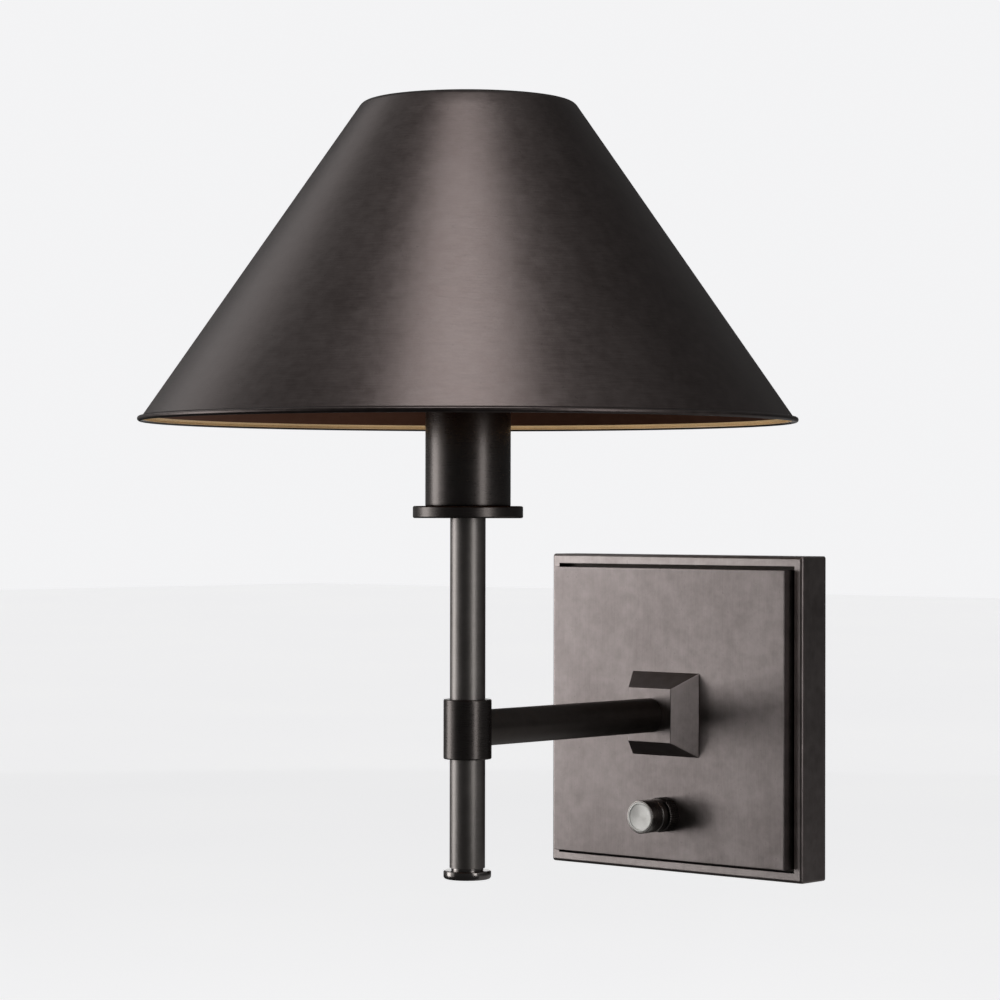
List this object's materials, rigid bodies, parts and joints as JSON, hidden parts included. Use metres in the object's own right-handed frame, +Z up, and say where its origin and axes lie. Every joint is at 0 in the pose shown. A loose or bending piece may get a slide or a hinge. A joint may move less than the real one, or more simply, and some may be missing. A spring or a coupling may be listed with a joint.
{
  "type": "wall reading lamp",
  "caption": "Wall reading lamp: square stepped backplate with a dimmer knob, one straight arm, an upright post with a stepped candle cup, and an open-topped metal cone shade.",
  "frame": {"origin": "centre of the backplate on the wall plane, level with the arm", "axes": "+Z up, +Y into the wall, +X to the right of someone facing the wall"},
  "size_m": [0.254, 0.2715, 0.3077],
  "materials": {
    "shade_metal": "dark patinated bronze finish, circumferential brushing",
    "plate_metal": "warm grey patinated bronze finish, faint crossed brushing",
    "dark_metal": "dark patinated bronze finish, satin, faint brushing",
    "bright_disc": "bright satin disc",
    "zinc_steel": "zinc plated",
    "black_steel": "black oxide",
    "plain_brass": "plain turned brass",
    "holder_ceramic": "unglazed ceramic",
    "nut_plastic": "moulded thermoset",
    "bulb_glass": "frosted inside",
    "stem_glass": "clear",
    "cap_metal": "pressed thread",
    "cap_insulator": "black insulating ring",
    "solder": "soldered contact",
    "filament": "tungsten and support leads",
    "dimmer_plastic": "moulded housing",
    "block_plastic": "moulded block",
    "live_insulation": "insulated wire",
    "feed_insulation": "insulated wire",
    "neutral_insulation": "insulated wire",
    "earth_insulation": "insulated wire"
  },
  "bodies": {
    "lamp": {"shade": "shade_metal", "shade_upper": "shade_metal", "shade_top_ring": "shade_metal", "backplate_frame": "plate_metal", "front_plate": "plate_metal", "arm_boss": "plate_metal", "arm_tube": "dark_metal", "post_collar": "dark_metal", "post_tube": "dark_metal", "end_cap": "dark_metal", "socket_flange": "dark_metal", "socket_cup": "dark_metal", "dress_nut": "dark_metal", "wall_bracket": "zinc_steel", "shade_carrier": "zinc_steel", "nipple_washer": "zinc_steel", "nipple_locknut": "zinc_steel", "plate_screws": "zinc_steel", "earth_screw": "zinc_steel", "dimmer_washer": "zinc_steel", "bracket_grub_screws": "black_steel", "collar_grub_screw": "black_steel", "arm_nipple": "plain_brass", "cup_nipple": "plain_brass", "screw_shell": "plain_brass", "centre_contact": "plain_brass", "lampholder_terminals": "plain_brass", "terminal_block_screws": "plain_brass", "lampholder_base": "holder_ceramic", "lampholder_body": "holder_ceramic", "shade_ring_nut": "nut_plastic", "dimmer_body": "dimmer_plastic", "terminal_block": "block_plastic", "lamp_live_wire": "live_insulation", "dimmer_feed_wire": "feed_insulation", "lamp_neutral_wire": "neutral_insulation", "earth_wire": "earth_insulation"},
    "dimmer_knob": {"knob": "dark_metal", "knob_face_disc": "bright_disc", "knob_grub_screw": "black_steel", "dimmer_shaft": "zinc_steel"},
    "bulb": {"bulb_glass": "bulb_glass", "bulb_cap": "cap_metal", "bulb_insulator": "cap_insulator", "bulb_contact": "solder", "bulb_stem": "stem_glass", "bulb_filament": "filament"}
  },
  "joints": [
    {"name": "dimmer_turn", "type": "hinge", "parent": "lamp", "child": "dimmer_knob", "pos_m": [0, -0.03, -0.0416], "axis": [0, 1, 0], "range_deg": [0, 270]},
    {"name": "bulb_lift", "type": "slide", "parent": "lamp", "child": "bulb", "axis": [0, 0, 1], "range_m": [0, 0.14]}
  ]
}
